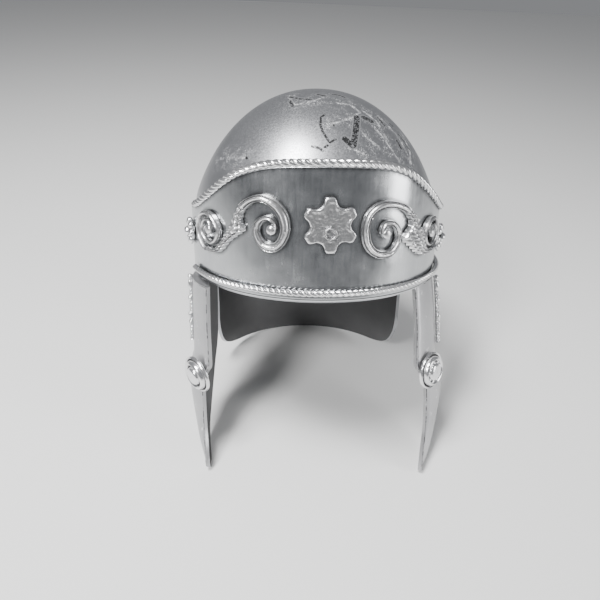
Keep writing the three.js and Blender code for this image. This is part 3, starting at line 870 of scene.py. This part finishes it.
# A spiral's rows are the direction from its middle in degrees, the ribbon's distance from it and
# the ribbon's half width. A leaf's rows are its outer edge along and up, its inner edge along and
# up, and its height as a share of the relief.
scrolls = {
    -1: {
        "large": {"along": 38.4, "up": 47.3, "rows": [
            (31, 27.9, 3), (51, 25.9, 2.5), (71, 23.6, 2.9), (91, 19.4, 3.7), (116, 15.2, 4.3),
            (141, 12.1, 4.3), (166, 10.6, 3.7), (203, 10.1, 3.5), (233, 11.3, 3.4), (261, 13.1, 3.6),
            (290, 13.5, 3.2), (328, 12.4, 2.8), (375, 11.2, 2.5), (434, 8.6, 2), (465, 6.4, 1.9),
            (496, 4.5, 1.6), (530, 3.3, 1.3),
        ]},
        "small": {"along": 97.9, "up": 39.9, "rows": [
            (-70, 18.3, 1.8), (-9, 17.5, 2.8), (26, 16, 2.6), (60, 13.5, 2.3), (100, 11.8, 2),
            (141, 10.8, 1.9), (169, 11.6, 1.9), (230, 11, 1.9), (300, 10.2, 1.8), (355, 9.5, 1.8),
            (451, 6.9, 1.6), (500, 4.8, 1.5), (540, 3.4, 1.3),
        ]},
        "leaf": [
            (64.2, 63.6, 59.7, 61.2, 1), (69.4, 55.1, 62.6, 52.2, 1.1), (74.7, 44.9, 60.2, 45, 1.2),
            (80, 37.5, 67.6, 39.2, 1.2), (84, 32.3, 75.5, 33.2, 1.1), (92, 26.2, 87, 23.2, 1),
            (104.5, 24.6, 105.8, 21.4, 0.95),
        ],
    },
    1: {
        "large": {"along": 44.1, "up": 44.6, "rows": [
            (37, 24.9, 2.8), (64, 22.3, 2.7), (88, 21.6, 2.8), (112, 21.5, 3), (135, 20.3, 3.2),
            (158, 17.9, 3.2), (184, 16.2, 3.2), (238, 16.2, 3), (265, 16.2, 2.9), (293, 15.8, 2.8),
            (319, 14, 2.7), (351, 11.8, 2.5), (382, 10.3, 2.2), (425, 8.6, 2), (461, 7.4, 1.9),
            (500, 5, 1.7), (540, 3.4, 1.3),
        ]},
        "small": {"along": 98.5, "up": 38.5, "rows": [
            (-70, 13.8, 1.7), (-9, 11.7, 1.7), (60, 11.6, 1.8), (141, 11.4, 1.9), (200, 11.2, 1.9),
            (260, 9.6, 1.8), (355, 7.4, 1.7), (451, 5.7, 1.5), (500, 4.3, 1.4), (540, 3.3, 1.3),
        ]},
        "leaf": [
            (65.3, 61.9, 61.2, 59.1, 1), (74.5, 53.8, 67.5, 49.5, 1.15), (80, 47, 61, 39.2, 1.2),
            (85, 39, 70.6, 30.8, 1.15), (90, 30, 79.6, 24.2, 1), (95, 26.6, 90, 21.6, 0.95),
            (103.8, 26.8, 104.9, 24.3, 0.95),
        ],
    },
}


def on_face(side, along_band, rise, out):
    return band_point(side * along_band / band_half, out, rise)


def crumble(point, size, depth):
    return depth * noise.noise(point / size)


def ribbon(side, stations, section, notch):
    """Swept strip; a station is its outer edge, its inner edge and its relief in millimetres."""
    points = []
    run_length = 0
    for i, (outer, inner, relief) in enumerate(stations):
        middle = (outer + inner) / 2
        before = stations[max(i - 1, 0)]
        run_length += (middle - (before[0] + before[1]) / 2).length
        for across, rise in section:
            fold = notch * math.cos(2 * math.pi * (run_length + 3 * abs(across)) / notch_spacing)
            flat = middle + (outer - inner) / 2 * across * (1 + 0.6 * fold)
            rough = crumble(flat.to_3d(), 2.0, 0.16) if rise > 0 else 0
            out = rise * relief * (1 + fold) + rough
            points.append(on_face(side, flat.x, flat.y, scroll_gap + max(out, 0)))
    return points, loft_faces(len(stations), len(section))


def spiral_stations(spiral, steps):
    middle = Vector((spiral["along"], spiral["up"]))
    rows = spiral["rows"]
    stations = []
    for i in range(steps + 1):
        angle, distance, half = row_at(rows, mix(rows[0][0], rows[-1][0], i / steps))
        outer, inner = (middle + around(distance + step, math.radians(angle)) for step in (half, -half))
        stations.append((outer, inner, scroll_relief))
    return stations


def leaf_stations(leaf, steps):
    rows = [(i, *row) for i, row in enumerate(leaf)]
    stations = []
    for i in range(steps + 1):
        _, x0, y0, x1, y1, share = row_at(rows, (len(rows) - 1) * i / steps)
        stations.append((Vector((x0, y0)), Vector((x1, y1)), share * scroll_relief))
    return stations


def knob(side, spiral):
    points = []
    levels = [(1, 0), (1, 0.45), (0.96, 0.7), (0.84, 0.9), (0.6, 1.0), (0.3, 1.04), (0.05, 1.05)]
    for width, rise in levels:
        for k in range(knob_sides):
            flat = around(knob_radius * width, 2 * math.pi * k / knob_sides)
            points.append(on_face(side, spiral["along"] + flat.x, spiral["up"] + flat.y,
                                  scroll_gap + rise * scroll_relief))
    return points, loft_faces(len(levels), knob_sides)


def scroll(name, side):
    large, small, leaf = (scrolls[side][key] for key in ("large", "small", "leaf"))
    parts = [
        ribbon(side, spiral_stations(large, scroll_steps["large"]), ribbon_section, 0),
        ribbon(side, spiral_stations(small, scroll_steps["small"]), ribbon_section, 0),
        ribbon(side, leaf_stations(leaf, scroll_steps["leaf"]), leaf_section, leaf_notch),
        knob(side, large),
        knob(side, small),
    ]
    meshes = []
    for points, faces in parts:
        piece = mesh_object("part", points, faces)
        face_outwards(piece.data)
        meshes.append(piece.data)
        bpy.data.objects.remove(piece)
    whole = joined(name, [(mesh, Matrix()) for mesh in meshes])
    add_crest(whole, 0.8 * mm)
    whole.data.materials.append(relief_paint)
    return whole


scroll_pieces = {side: scroll(f"s_scroll_{name}", side) for name, side in both_sides}
print("scroll faces:", len(scroll_pieces[-1].data.polygons))

# %% [markdown]
# ## The front rosette
#
# A flat stamped plate with six blunt lobes. Its outline is one radius for each direction, so the
# plate is rings that shrink from that outline to the middle. Noise dents the face like hammering.

# %% Rosette and ring
rosette_width = 42
rosette_sides = 180
rosette_thickness = 4.5
rosette_rise = 52
rosette_angle = math.radians(1.2)
scallop_radius = 6.4
scallop_out = 21.3
ring_width = 9.6
ring_wire = 1.6
ring_drop = 5.3
ring_steps = 48
wire_sides = 16


def frame_at(place, across, up, outward):
    return Matrix.Translation(place) @ Matrix((across, up, outward)).transposed().to_4x4()


def on_band(angle, rise, out):
    place = band_point(angle, out, rise)
    outward = (band_point(angle, out + 1, rise) - place).normalized()
    upward = Vector((0, 0, 1))
    return frame_at(place, upward.cross(outward), upward, outward)


def rosette_edge(turn_angle):
    lobe = math.pi / 3
    radius = rosette_width / 2
    # half angle that a scallop covers at the plate's full radius
    half = math.acos((radius ** 2 + scallop_out ** 2 - scallop_radius ** 2) / (2 * radius * scallop_out))
    off = (turn_angle - math.radians(92)) % lobe - lobe / 2
    if abs(off) > half:
        return radius * math.cos(lobe / 2 - half) / math.cos(lobe / 2 - abs(off))
    chord = math.sqrt(max(scallop_radius ** 2 - (scallop_out * math.sin(off)) ** 2, 0))
    return scallop_out * math.cos(off) - chord


# the corners of the lobes are slightly blunt
def rosette_radius(turn_angle):
    spread = [rosette_edge(turn_angle + math.radians(d)) for d in (-5, -3, -1, 1, 3, 5)]
    return min(sum(spread) / len(spread), rosette_edge(turn_angle))


rosette_place = on_band(rosette_angle, rosette_rise, seat_gap)
rosette_points = []
# share of the outline's radius, share of the thickness
rosette_levels = [(1, 0), (1, 0.45), (0.995, 0.7), (0.975, 0.88), (0.94, 0.97)] + [
    (0.9 * (1 - i / 30), 1) for i in range(30)
]
for share, rise in rosette_levels:
    for k in range(rosette_sides):
        turn_angle = 2 * math.pi * k / rosette_sides
        flat = around(share * rosette_radius(turn_angle), turn_angle).to_3d()
        dent = crumble(flat, 2.4, 0.3) + crumble(flat, 1.1, 0.16) if rise > 0.9 else 0
        dish = 0.5 * (1 - hump(share, 0.9, 0.12)) if rise > 0.9 else 0
        flat.z = min(rise * rosette_thickness - dish + dent, rosette_thickness)
        rosette_points.append(rosette_place @ flat)
rosette = mesh_object("rosette_plate", rosette_points, loft_faces(len(rosette_levels), rosette_sides))
face_outwards(rosette.data)
add_crest(rosette, 0.5 * mm)

ring_points = []
ring_lift = rosette_thickness + seat_gap + ring_wire / 2
for i in range(ring_steps):
    for k in range(wire_sides):
        wire = around(ring_wire / 2, 2 * math.pi * k / wire_sides)
        flat = around(ring_width / 2 - ring_wire / 2 + wire.x, 2 * math.pi * i / ring_steps)
        ring_points.append(rosette_place @ Vector((flat.x, flat.y - ring_drop, ring_lift + wire.y)))
ring_faces = [
    tuple((i + a) % ring_steps * wire_sides + (k + b) % wire_sides
          for a, b in ((0, 0), (0, 1), (1, 1), (1, 0)))
    for i in range(ring_steps) for k in range(wire_sides)
]
ring = mesh_object("rosette_wire_ring", ring_points, ring_faces)
face_outwards(ring.data)
add_values(ring, "crest", [0.5] * len(ring_points))
for piece in (rosette, ring):
    piece.data.materials.append(relief_paint)
print("rosette points:", len(rosette_points))

# %% [markdown]
# ## Bosses
# A boss is a turned disc, and most have beads set round them in a circle.
# A boss is a turned disc with things set round it in circles: beads on the rim, petals inside.
# Repeating one thing round a circle is another rule for Geometry Nodes.

# %% Ring tree
ring_tree, given, result = geometry_tree("ring of copies", [
    ("Count", "NodeSocketInt"),
    ("Radius", "NodeSocketFloat"),
    ("Material", "NodeSocketMaterial"),
])
circle = output_of(ring_tree, "GeometryNodeMeshCircle",
                   {"Vertices": given["Count"], "Radius": given["Radius"]})
index = output_of(ring_tree, "GeometryNodeInputIndex")
turn_step = arithmetic(ring_tree, "DIVIDE", 2 * math.pi, given["Count"])
spin = arithmetic(ring_tree, "MULTIPLY", index, turn_step)
spin = output_of(ring_tree, "ShaderNodeCombineXYZ", {2: spin})
copies = output_of(ring_tree, "GeometryNodeInstanceOnPoints",
                   {"Points": circle, "Instance": given["Geometry"], "Rotation": spin})
end_tree(ring_tree, copies, given, result)


def bead(length, width, height, lift):
    """A rounded bead, longest along X, its middle at the given height."""
    mesh = bpy.data.meshes.new("bead")
    ball = bmesh.new()
    bmesh.ops.create_uvsphere(ball, u_segments=14, v_segments=8, radius=1)
    ball.to_mesh(mesh)
    ball.free()
    mesh.transform(Matrix.Translation((0, 0, lift)) @ Matrix.Diagonal((length, width, height, 1)))
    return mesh


def beads_round(count, radius, mesh):
    piece = put_in_scene("beads", mesh)
    run_tree(piece, ring_tree, Count=count, Radius=float(radius), Material=relief_paint)
    baked = piece.data
    bpy.data.objects.remove(piece)
    return baked


def turned(profile, sides=72):
    """A turned disc from radius and height pairs in millimetres."""
    mesh = bpy.data.meshes.new("turned")
    points = [(*around(radius, 2 * math.pi * k / sides), height)
              for radius, height in profile for k in range(sides)]
    mesh.from_pydata(points, [], loft_faces(len(profile), sides))
    face_outwards(mesh)
    return mesh


def boss(name, place, meshes):
    matrix = to_table @ place
    piece = joined(name, [(mesh, matrix) for mesh in meshes])
    add_crest(piece, 0.22 * mm)
    if not piece.data.materials:
        piece.data.materials.append(relief_paint)
    return piece


temple_boss_meshes = [
    turned([(0.05, 0), (9.4, 0), (9.8, 1.0), (9.4, 2.2), (6.0, 2.8), (4.4, 3.2), (4.0, 4.6), (3.8, 6.2),
            (3.0, 7.4), (1.6, 7.9), (0.05, 8.0)]),
    beads_round(8, 8.9, bead(3.3, 3.3, 2.7, 2.7)),
]
cheek_boss_turned = turned([
    (0.05, 0), (17.5, 0), (17.5, 1.3), (17.2, 2.2), (16.5, 2.7), (15.9, 2.4), (15.5, 1.7), (15.1, 1.2),
    (14.6, 1.1), (14.2, 1.6), (14.0, 3.0), (13.7, 4.8), (13.0, 5.8), (12.1, 6.2), (11.2, 5.9), (10.5, 5.0),
    (10.1, 4.1), (9.7, 3.5), (9.2, 3.4), (8.8, 3.8), (8.5, 5.0), (8.1, 6.3), (7.2, 7.2), (5.6, 7.7),
    (3.0, 7.95), (0.05, 8.0),
])
cheek_boss_meshes = {
    -1: [cheek_boss_turned],
    1: [cheek_boss_turned, beads_round(9, 9.4, bead(1.6, 2.2, 1.5, 4.4))],
}
# distance along the band; share across the guard, depth down it and gap to it
boss_seats = {-1: (144.6, 0.1, 0.47, 1.1), 1: (126, 0.15, 0.446, 0.7)}
temple_rise = 29
temple_gap = 0.4
temple_bosses = {
    side: boss(f"temple_disc_{name}",
               on_band(side * boss_seats[side][0] / band_half, temple_rise, temple_gap), temple_boss_meshes)
    for name, side in both_sides
}
print("boss faces:", len(temple_bosses[1].data.polygons))

# %% [markdown]
# ## Cheek guards
#
# A guard is a plate bent round the cheek. Down its length its front and rear edges move in and out,
# and across each row the plate is an arc between the two edges. A tongue above it goes up inside
# the skull. The front edge is rolled into a small lip, and the distance to the nearest edge is
# stored so that the chips can gather there.

# %% Cheek guards
guard_width = 78
guard_length = 181
guard_wall = 3
guard_middle_x = 95
guard_middle_y = -32
guard_top = -rim_drop - 0.9
tab_width = 18
tab_height = 22
tab_angle = math.radians(92)
tab_levels = (tab_height, 0, -rim_drop - seat_gap)
guard_columns = 56
guard_down = 190

# bulge, turn of the front edge in degrees, outward and forward shift of the lower half, length
guard_bends = {-1: (17.5, 0, 0, 0, guard_length), 1: (15, 17, 23, 8, guard_length + 4)}

# depth, front edge out and back, rear edge out and back, bow
guard_rows = [
    (0, -0.02, -0.5, 0, 0.48, 0.93),
    (0.2, -0.01, -0.515, 0.01, 0.48, 0.97),
    (0.355, -0.015, -0.555, 0.02, 0.47, 1),
    (0.4, -0.012, -0.565, 0.022, 0.465, 1.02),
    (0.43, 0.02, -0.53, 0.025, 0.46, 1.03),
    (0.49, 0.075, -0.435, 0.035, 0.445, 1.03),
    (0.56, 0.095, -0.39, 0.055, 0.41, 1),
    (0.66, 0.1, -0.395, 0.08, 0.33, 0.87),
    (0.78, 0.1, -0.43, 0.11, 0.2, 0.62),
    (0.88, 0.085, -0.53, 0.13, 0.01, 0.36),
    (0.95, 0.08, -0.575, 0.12, -0.14, 0.17),
    (0.985, 0.078, -0.57, 0.1, -0.29, 0.06),
    (1, 0.078, -0.53, 0.085, -0.38, 0.02),
]


def guard_edges(depth):
    row = row_at(guard_rows, depth)
    return Vector(row[1:3]) * guard_width, Vector(row[3:5]) * guard_width, row[5]


def guard_point(side, share, depth, inset):
    front, rear, bow_share = guard_edges(depth)
    bulge, toe, spread, forward, length = guard_bends[side]
    half_chord = (rear - front).length / 2
    bow = max(bow_share * bulge, 0.2)
    radius = (half_chord ** 2 + bow ** 2) / (2 * bow)
    turn_angle = mix(-1, 1, share) * math.asin(half_chord / radius)
    direction = (rear - front).normalized()
    outward = Vector((direction.y, -direction.x))
    middle = (front + rear) / 2 + outward * (bow - radius)
    place = middle + ((radius - inset) * math.sin(turn_angle)) * direction
    place += ((radius - inset) * math.cos(turn_angle)) * outward
    pivot = Vector((bulge * 0.6, 0))
    place = pivot + Matrix.Rotation(-math.radians(toe), 2) @ (place - pivot)
    x = guard_middle_x + place.x + spread * depth * (1 - 0.35 * depth)
    return Vector((side * x, guard_middle_y + place.y - forward * depth, guard_top - length * depth))


def guard_frame(side, share, depth, out):
    def direction(share_step, depth_step):
        ahead, behind = (guard_point(side, share + k * share_step, depth + k * depth_step, 0)
                         for k in (1, -1))
        return (ahead - behind).normalized()

    down = direction(0, 0.02)
    outward = (direction(0.05, 0).cross(down) * -side).normalized()
    place = guard_point(side, share, depth, 0) + outward * out
    return frame_at(place, down.cross(outward).normalized(), down, outward)


def tab_point(side, share, z, inset):
    angle = tab_angle + mix(-0.5, 0.5, share) * (tab_width / skull_half)
    place = plan_point(angle, skull_half, skull_front, back_reach, -skull_wall - seat_gap - inset, z)
    place.x *= side
    return place


def cheek_guard(name, side):
    shares = [0.5 - 0.5 * math.cos(math.pi * j / guard_columns) for j in range(guard_columns + 1)]
    grids, rims = [], []
    for inner in (False, True):
        for z in tab_levels:
            for share in shares:
                grids.append(tab_point(side, share, z, guard_wall if inner else 0))
                rims.append(1.0)
        for i in range(guard_down + 1):
            depth = i / guard_down
            front, rear, _ = guard_edges(depth)
            width = (rear - front).length
            for share in shares:
                lip = 0.9 * hump(share * width, 1.2, 1.0) - 0.5 * hump(share * width, 3.4, 0.8)
                lip += 0.5 * hump((1 - share) * width, 1.2, 1.0)
                ridge = 0.8 * hump(share, 0.5, 0.12) * min(max((depth - 0.5) / 0.1, 0), 1)
                ease = min(depth / 0.03, 1, (1 - depth) / 0.02)
                inset = guard_wall if inner else -(lip + ridge) * ease
                grids.append(guard_point(side, share, depth, inset))
                drop = min(depth, 1 - depth) * guard_length
                rims.append(min(share * width, (1 - share) * width, drop) * mm)
    guard = mesh_object(name, grids, sheet_faces(guard_down + 1 + len(tab_levels), guard_columns + 1))
    add_values(guard, "rim", rims)
    half_count = len(grids) // 2
    for polygon in guard.data.polygons:
        if min(polygon.vertices) >= half_count:
            polygon.material_index = 1
    face_outwards(guard.data)
    guard.data.materials.append(guard_paint)
    guard.data.materials.append(inner_plastic)
    return guard


guards = {side: cheek_guard(f"cheek_plate_{name}", side) for name, side in both_sides}
cheek_bosses = {
    side: boss(f"cheek_disc_{name}", guard_frame(side, *boss_seats[side][1:]), cheek_boss_meshes[side])
    for name, side in both_sides
}
print("guard faces:", len(guards[1].data.polygons))

# %% [markdown]
# ## The cord down each guard
#
# The same cord tree again, with other inputs, and three beads and a small lozenge set on it.

# %% Guard cords
strip_radius = 2.2
strip_share = 0.53
strip_start = 0.01
strip_end = 0.36
strip_steps = 60


def guard_cord(name, side):
    lift = seat_gap + 0.15 + strip_radius
    depths = [mix(strip_start, strip_end, i / strip_steps) for i in range(strip_steps + 1)]
    line_points = [guard_frame(side, strip_share, d, lift).translation for d in depths]
    strand = cord("strand", line_points, 3, strip_radius, 10, relief_paint)
    extras = [
        (bead(2.6, 2.8, 2.4, 0.6), 0.02),
        (bead(2.6, 6.4, 2.4, 0.6), 0.062),
        (bead(2.6, 3.0, 2.4, 0.6), 0.134),
        (bead(2.7, 3.6, 2.5, 0.6), 0.222),
        (bead(2.4, 2.6, 2.2, 0.5), 0.262),
    ]
    meshes = [(strand.data, Matrix())]
    for mesh, depth in extras:
        meshes.append((mesh, to_table @ guard_frame(side, strip_share, depth, lift)))
    whole = joined(name, meshes)
    bpy.data.objects.remove(strand)
    add_crest(whole, 0.1 * mm)
    if not whole.data.materials:
        whole.data.materials.append(relief_paint)
    return whole


guard_cords = {side: guard_cord(f"guard_cord_{name}", side) for name, side in both_sides}
print("guard cords:", len(guard_cords))

# %% [markdown]
# ## Painted shade round the ornaments
#
# Painted shade darkens the band and the guards where an ornament meets them. The band's and the guards'
# points look up their distance to the nearest ornament.

# %% Painted contact shade
# Stores 1 on points next to an ornament, falling to 0 at reach. The paints turn this into painted shade.
def add_contact_shade(piece, ornaments, reach):
    points, faces = [], []
    for ornament in ornaments:
        start = len(points)
        points += [v.co.copy() for v in ornament.data.vertices]
        faces += [tuple(start + k for k in p.vertices) for p in ornament.data.polygons]
    tree = BVHTree.FromPolygons(points, faces)
    values = []
    for vertex in piece.data.vertices:
        distance = tree.find_nearest(vertex.co)[3]
        values.append(max(0, 1 - distance / reach) ** 1.4)
    add_values(piece, "contact_shade", values)
    print(piece.name, "shaded points:", sum(value > 0.2 for value in values))


add_contact_shade(band, [rosette, *scroll_pieces.values(), *ropes.values(), *temple_bosses.values()], 3.2 * mm)
for side, guard in guards.items():
    add_contact_shade(guard, [guard_cords[side], cheek_bosses[side]], 2.6 * mm)

# %% [markdown]
# ## Hand the pieces over
#
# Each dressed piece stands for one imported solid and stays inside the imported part's box.

# %% Finish the pieces
low, high = Vector(cad_box[0]), Vector(cad_box[1])
sharp_turn = math.radians(42)


def keep_in_box(piece):
    for vertex in piece.data.vertices:
        for axis in range(3):
            vertex.co[axis] = min(max(vertex.co[axis], low[axis]), high[axis])


dressed = [
    (skull, "painted_shell", "skull"),
    (band, "polished_band", "brow_band"),
    (ropes["top"], "cast_relief", "rope_top"),
    (ropes["bottom"], "cast_relief", "rope_bottom"),
    (rosette, "cast_relief", "front_rosette"),
    (ring, "cast_relief", "rosette_ring"),
]
for name, side in both_sides:
    dressed += [
        (scroll_pieces[side], "cast_relief", f"scroll_{name}"),
        (temple_bosses[side], "cast_relief", f"temple_boss_{name}"),
        (guards[side], "worn_paint", f"cheek_guard_{name}"),
        (cheek_bosses[side], "cast_relief", f"cheek_boss_{name}"),
        (guard_cords[side], "worn_paint", f"cheek_strip_{name}"),
    ]
for piece, slot_name, node in dressed:
    keep_in_box(piece)
    piece.data.set_sharp_from_angle(angle=sharp_turn)
    finish_piece(piece, node)

# %% [markdown]
# ## Floor and light
#
# A pale floor and soft light from large lamps keep the reflections broad, which is how a satin
# metal reads best. The world light fills the shadows.

# %% Floor
bpy.ops.mesh.primitive_plane_add(size=6)
floor = bpy.context.object
floor.name = "floor"
floor_paint, tree, shader, place = new_material("pale matt floor")
shader.inputs["Base Color"].default_value = linear("#ebebea")
shader.inputs["Roughness"].default_value = 0.7
floor.data.materials.append(floor_paint)
print("floor at", floor.location.z)


# %% Lamps
def lamp(name, place, target, size, power):
    data = bpy.data.lights.new(name, "AREA")
    data.shape = "RECTANGLE"
    data.size, data.size_y = size
    data.energy = power
    light = put_in_scene(name, data)
    light.location = place
    light.rotation_euler = (Vector(target) - Vector(place)).to_track_quat("-Z", "Y").to_euler()


aim = (0, 0, 0.17)
lamp("top", (-0.4, -0.22, 1.37), aim, (0.4, 0.4), 28)
lamp("front", (-0.75, -0.85, 1.05), aim, (0.3, 0.3), 18)
lamp("side", (1.2, -0.5, 0.5), aim, (0.4, 0.8), 9)
world = bpy.data.worlds.new("studio")
bpy.context.scene.world = world
world.use_nodes = True
background = world.node_tree.nodes["Background"]
background.inputs["Color"].default_value = linear("#e4e6ea")
background.inputs["Strength"].default_value = 0.3
print("lamps and world ready")

# %% Sizes and finish
print("box of the packed part:", [[round(v, 4) for v in c] for c in cad_box])
